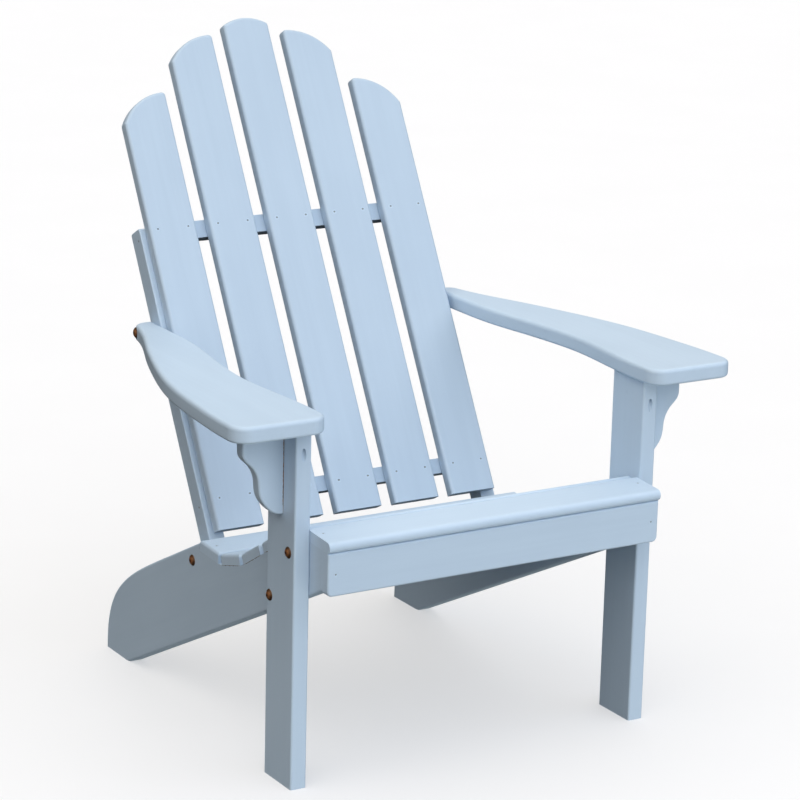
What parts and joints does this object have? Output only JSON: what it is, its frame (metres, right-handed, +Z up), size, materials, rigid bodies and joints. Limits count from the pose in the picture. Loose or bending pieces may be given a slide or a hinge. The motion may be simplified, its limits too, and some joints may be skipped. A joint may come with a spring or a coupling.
{
  "type": "adirondack chair",
  "caption": "Painted timber garden armchair with a reclined fan of arched back slats, a dipped slatted seat, broad curved arms on bracketed front legs and long sloping side rails.",
  "frame": {"origin": "on the ground under the middle of the chair's overall box", "axes": "+X to the right of someone facing the chair, +Y towards the back of the chair, +Z up"},
  "size_m": [0.8214, 0.7909, 0.9657],
  "materials": {
    "painted_timber": "satin pale blue exterior paint over softwood, rounded edges, faint grain and brush marks",
    "bronze_bolt": "antique bronze coloured domed bolt heads, satin, slightly darkened",
    "zinc_steel": "zinc plated steel screws, washers and nuts"
  },
  "bodies": {
    "root": {"front_leg_left": "painted_timber", "side_rail_left": "painted_timber", "back_upright_left": "painted_timber", "arm_left": "painted_timber", "arm_bracket_left": "painted_timber", "front_leg_right": "painted_timber", "side_rail_right": "painted_timber", "back_upright_right": "painted_timber", "arm_right": "painted_timber", "arm_bracket_right": "painted_timber", "apron": "painted_timber", "back_rail_lower": "painted_timber", "back_rail_upper": "painted_timber", "back_slat_1": "painted_timber", "back_slat_2": "painted_timber", "back_slat_3": "painted_timber", "back_slat_4": "painted_timber", "back_slat_5": "painted_timber", "seat_slat_1": "painted_timber", "seat_slat_2": "painted_timber", "seat_slat_3": "painted_timber", "seat_slat_4": "painted_timber", "seat_slat_5": "painted_timber", "seat_slat_6": "painted_timber", "leg_bolts": "bronze_bolt", "back_bolts": "bronze_bolt", "arm_bolts": "bronze_bolt", "seat_screws": "zinc_steel", "back_slat_screws_lower": "zinc_steel", "back_slat_screws_upper": "zinc_steel", "back_frame_screws": "zinc_steel", "bracket_screws": "zinc_steel", "apron_screws": "zinc_steel", "arm_pocket_screws": "zinc_steel", "leg_bolt_washers": "zinc_steel", "leg_bolt_nuts": "zinc_steel", "back_bolt_washers": "zinc_steel", "back_bolt_nuts": "zinc_steel", "arm_bolt_washers": "zinc_steel", "arm_bolt_nuts": "zinc_steel"}
  },
  "joints": []
}
